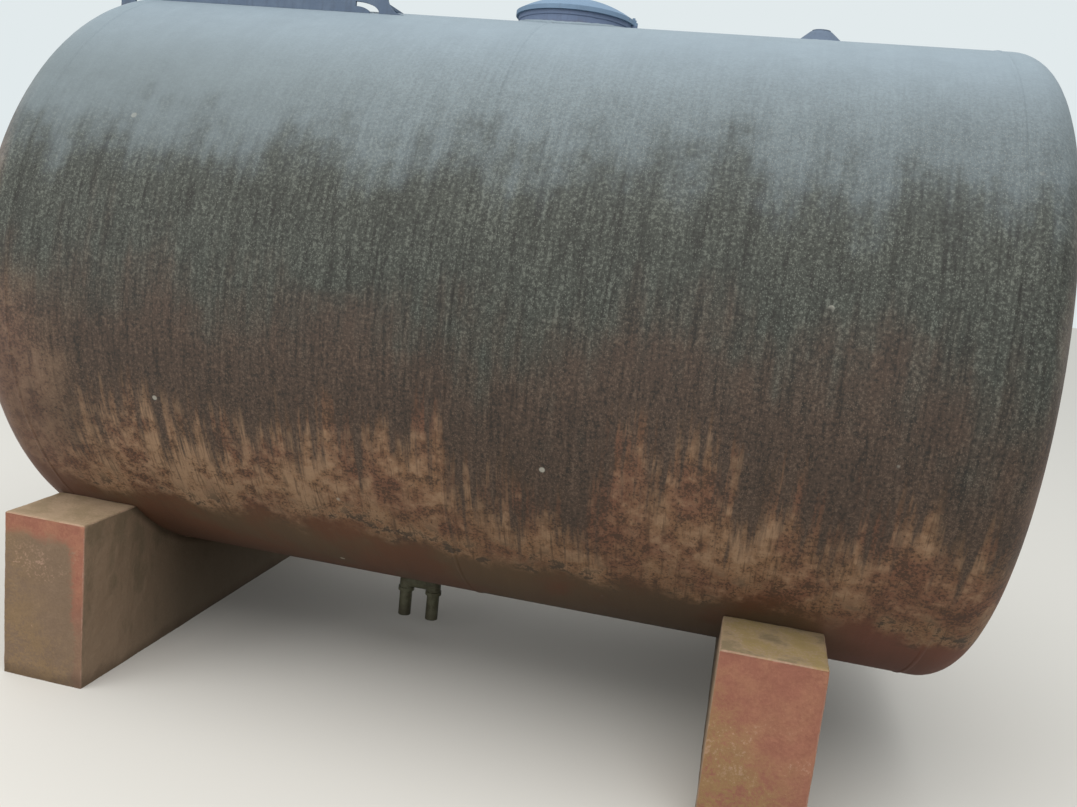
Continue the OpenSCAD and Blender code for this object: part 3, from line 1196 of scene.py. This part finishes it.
@dataclass
class SaddleWeld:
    """Fillet weld round a round fitting, draped on the shell or flat at a level."""

    name: str
    x: float
    radius: float
    bead: float
    upward: bool = True
    level: Optional[float] = None
    clear: float = 1.2
    steps: int = 128
    round_steps: int = 3
    bed_sides: int = 512
    scallop: float = 0.012
    unevenness: float = 0.5

    def build(self) -> bpy.types.Object:
        """Models the bead as an uneven ring round the fitting's foot.

        Returns:
            The finished mesh.
        """
        Bench.clear()
        start = AXIS_Z + (self.clear if self.upward else -self.clear)
        place = (self.x, 0.0, start if self.level is None else self.level)
        bpy.ops.mesh.primitive_circle_add(vertices=self.steps, radius=self.radius, location=place)
        ring = Bench.take(self.name)
        Bench.settle(ring)
        if self.level is None:
            self._drape(ring)
        Bench.pick(ring)
        bpy.ops.object.convert(target="CURVE")
        ring.data.bevel_depth = self.bead
        ring.data.bevel_resolution = self.round_steps
        bpy.ops.object.convert(target="MESH")
        Bench.outward(ring)
        scallops = Relief(
            f"{self.name}_scallops", self.scallop, self.bead * self.unevenness, octaves=2, level=0.5
        )
        scallops.press(ring)
        Bench.smooth(ring)
        return ring

    def _drape(self, ring: bpy.types.Object) -> None:
        """Projects the ring straight onto the shell.

        Args:
            ring: The weld's mesh.
        """
        bed = Bench.drum("weld_bed", self.x, TANK_R, length=self.radius * 4, sides=self.bed_sides)
        Bench.modify(
            ring,
            "SHRINKWRAP",
            target=bed,
            wrap_method="PROJECT",
            use_project_z=True,
            use_negative_direction=self.upward,
            use_positive_direction=not self.upward,
        )
        bpy.data.objects.remove(bed, do_unlink=True)


@dataclass
class Tank:
    """Shell, heads, girth welds and the fillet welds of the fittings."""

    nodes: dict[str, bpy.types.Object]
    manhole_x: float = 0.037
    neck_weld_r: float = 0.196
    vent_x: float = 0.858
    vent_weld_r: float = 0.09
    outlet_x: float = -0.34
    boss_weld_r: float = 0.041

    def build(self) -> list[bpy.types.Object]:
        """Models the fillet welds.

        Returns:
            The welds.
        """
        return [
            SaddleWeld("neck_weld", self.manhole_x, self.neck_weld_r, bead=0.008).build(),
            SaddleWeld("vent_weld", self.vent_x, self.vent_weld_r, bead=0.007).build(),
            SaddleWeld("boss_weld", self.outlet_x, self.boss_weld_r, bead=0.005, upward=False).build(),
        ]

    def dress(self, welds: list[bpy.types.Object], finish: bpy.types.Material) -> None:
        """Paints shell, heads and welds.

        Args:
            welds: The fillet welds.
            finish: The shell's paint.
        """
        for weld in welds:
            Bench.dress(weld, finish, Slot.WELD)
        names = tuple(name for name in self.nodes if name.startswith(("shell_", "head_", "weld_")))
        Bench.repaint(self.nodes, names, finish)


@dataclass
class Fittings:
    """Manhole, vent, cradle and outlet."""

    nodes: dict[str, bpy.types.Object]
    neck: tuple[str, ...] = ("manhole_neck", "manhole_ring")
    cover: tuple[str, ...] = ("manhole_cover", "cover_stud", "cover_nut")
    vent: tuple[str, ...] = ("vent_cone", "vent_plug")
    cradle: tuple[str, ...] = ("bearer_front", "bearer_back", "tie_left", "tie_middle", "tie_right")
    outlet: tuple[str, ...] = ("outlet_boss", "outlet_header", "drop_left", "drop_right")

    def build(self) -> bpy.types.Object:
        """Models the weld between the manhole's neck and its seat ring.

        Returns:
            The weld.
        """
        low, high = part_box("manhole_neck")
        middle = (low[0] + high[0]) / 2
        radius = (high[0] - low[0]) / 2
        return SaddleWeld("ring_weld", middle, radius, bead=0.003, level=high[2]).build()

    def dress(self, ring_weld: bpy.types.Object) -> None:
        """Gives each fitting its finish.

        Args:
            ring_weld: The weld under the seat ring.
        """
        # The neck and ring take the shaded copy, the cover the lit one and the vent a shaded one.
        neck = NECK_STEEL_SHADED.build()
        Bench.repaint(self.nodes, self.neck, neck)
        Bench.dress(ring_weld, neck, Slot.FITTING)
        Bench.repaint(self.nodes, self.cover, COVER_STEEL_LIT.build())
        Bench.repaint(self.nodes, self.vent, VENT_STEEL_SHADED.build())
        Bench.repaint(self.nodes, self.cradle, CRADLE_STEEL.build())
        Bench.repaint(self.nodes, self.outlet, DustyShadedPipe().build())


@dataclass
class Studio:
    """Pale floor and background, soft lamps and the camera."""

    floor_size: float = 80.0
    backdrop: Colour = paint(226, 234, 236)
    floor_seen: Colour = paint(214, 210, 202)
    floor_bounce: Colour = paint(118, 110, 98)
    sky_light: Colour = (0.93, 0.97, 1.0)
    sky_strength: float = 0.95
    lamps_aim: Point = (0.0, 0.0, 1.2)
    camera_place: Point = (0.7793, -3.4063, 1.5833)
    yaw: float = -0.2103
    pitch: float = 0.1776
    roll: float = -0.1084
    focal_px: float = 958.4
    image_width: int = 1077
    sensor: float = 36.0

    def floor(self) -> None:
        """Lays the floor."""
        Bench.clear()
        bpy.ops.mesh.primitive_plane_add(size=self.floor_size, location=(0.0, 0.0, 0.0))
        floor = Bench.take("studio_floor")
        g = ShaderTree.named("studio_floor_paper")
        seen = self._seen(g)
        pale = g.node("ShaderNodeBsdfDiffuse", {}, {"Color": self.floor_seen})
        dull = g.node("ShaderNodeBsdfDiffuse", {}, {"Color": self.floor_bounce})
        g.close(g.node("ShaderNodeMixShader", {}, {0: seen, 1: dull, 2: pale}))
        floor.data.materials.append(g.owner)

    @staticmethod
    def _seen(g: ShaderTree) -> Wire:
        """Light paths that show the background: camera, glossy and transmission rays.

        Args:
            g: Tree of the floor or of the world.

        Returns:
            One on those rays, zero on all others.
        """
        kinds = ("Camera", "Glossy", "Transmission")
        rays = [g.node("ShaderNodeLightPath", {}, {}, f"Is {kind} Ray") for kind in kinds]
        return rays[0].most(rays[1]).most(rays[2])

    def sky(self) -> None:
        """Lights the scene evenly from all round."""
        world = bpy.data.worlds.new("studio_sky")
        bpy.context.scene.world = world
        g = ShaderTree(world)
        seen = self._seen(g)
        even = {"Color": self.sky_light, "Strength": self.sky_strength}
        light = g.node("ShaderNodeBackground", {}, even)
        shown = g.node("ShaderNodeBackground", {}, {"Color": self.backdrop, "Strength": 1.0})
        g.close(g.node("ShaderNodeMixShader", {}, {0: seen, 1: light, 2: shown}))

    def lamp(self, name: str, place: Point, size: float, power: float) -> None:
        """Hangs one soft lamp that points at the middle of the tank.

        Args:
            name: Name of the lamp.
            place: Where it hangs.
            size: Side of its square, in metres.
            power: Power in watts.
        """
        data = bpy.data.lights.new(name, "AREA")
        data.shape = "SQUARE"
        data.size = size
        data.energy = power
        lamp = bpy.data.objects.new(name, data)
        bpy.context.scene.collection.objects.link(lamp)
        lamp.location = place
        ray = Vector(self.lamps_aim) - Vector(place)
        lamp.rotation_euler = ray.to_track_quat("-Z", "Y").to_euler()

    def camera(self) -> None:
        """Stands the camera where the photograph was taken."""
        data = bpy.data.cameras.new("viewpoint")
        data.sensor_width = self.sensor
        data.lens = self.focal_px / self.image_width * self.sensor
        ahead = Vector(
            (
                math.sin(self.yaw) * math.cos(self.pitch),
                math.cos(self.yaw) * math.cos(self.pitch),
                -math.sin(self.pitch),
            )
        )
        level = Vector((math.cos(self.yaw), -math.sin(self.yaw), 0.0))
        low = ahead.cross(level)
        right = level * math.cos(self.roll) + low * math.sin(self.roll)
        down = low * math.cos(self.roll) - level * math.sin(self.roll)
        camera = bpy.data.objects.new("viewpoint", data)
        bpy.context.scene.collection.objects.link(camera)
        turn = Matrix((right, -down, -ahead)).transposed().to_4x4()
        camera.matrix_world = Matrix.Translation(self.camera_place) @ turn
        bpy.context.scene.camera = camera

    def build(self) -> None:
        """Sets up floor, light and camera."""
        self.floor()
        self.sky()
        self.lamp("sky_lamp", place=(0.5, -3.0, 6.5), size=6.0, power=260.0)
        self.lamp("side_lamp", place=(-5.0, -5.0, 3.5), size=4.0, power=120.0)
        self.camera()
        bpy.context.scene.view_settings.view_transform = "Standard"


def main() -> None:
    """Builds and dresses the tank in order."""
    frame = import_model()
    nodes = frame["nodes"]

    Studio().build()
    shell_paint = ShellPaint().build()
    tank = Tank(nodes)
    tank.dress(tank.build(), shell_paint)
    left = Pier(Side.LEFT, x=-1.272, dust_share=0.8, moss_share=0.1)
    right = Pier(Side.RIGHT, x=0.958, dust_share=0.1, moss_share=0.85)
    for pier in (left, right):
        pier.dress(pier.build())
    fittings = Fittings(nodes)
    fittings.dress(fittings.build())


if __name__ == "__main__":
    main()
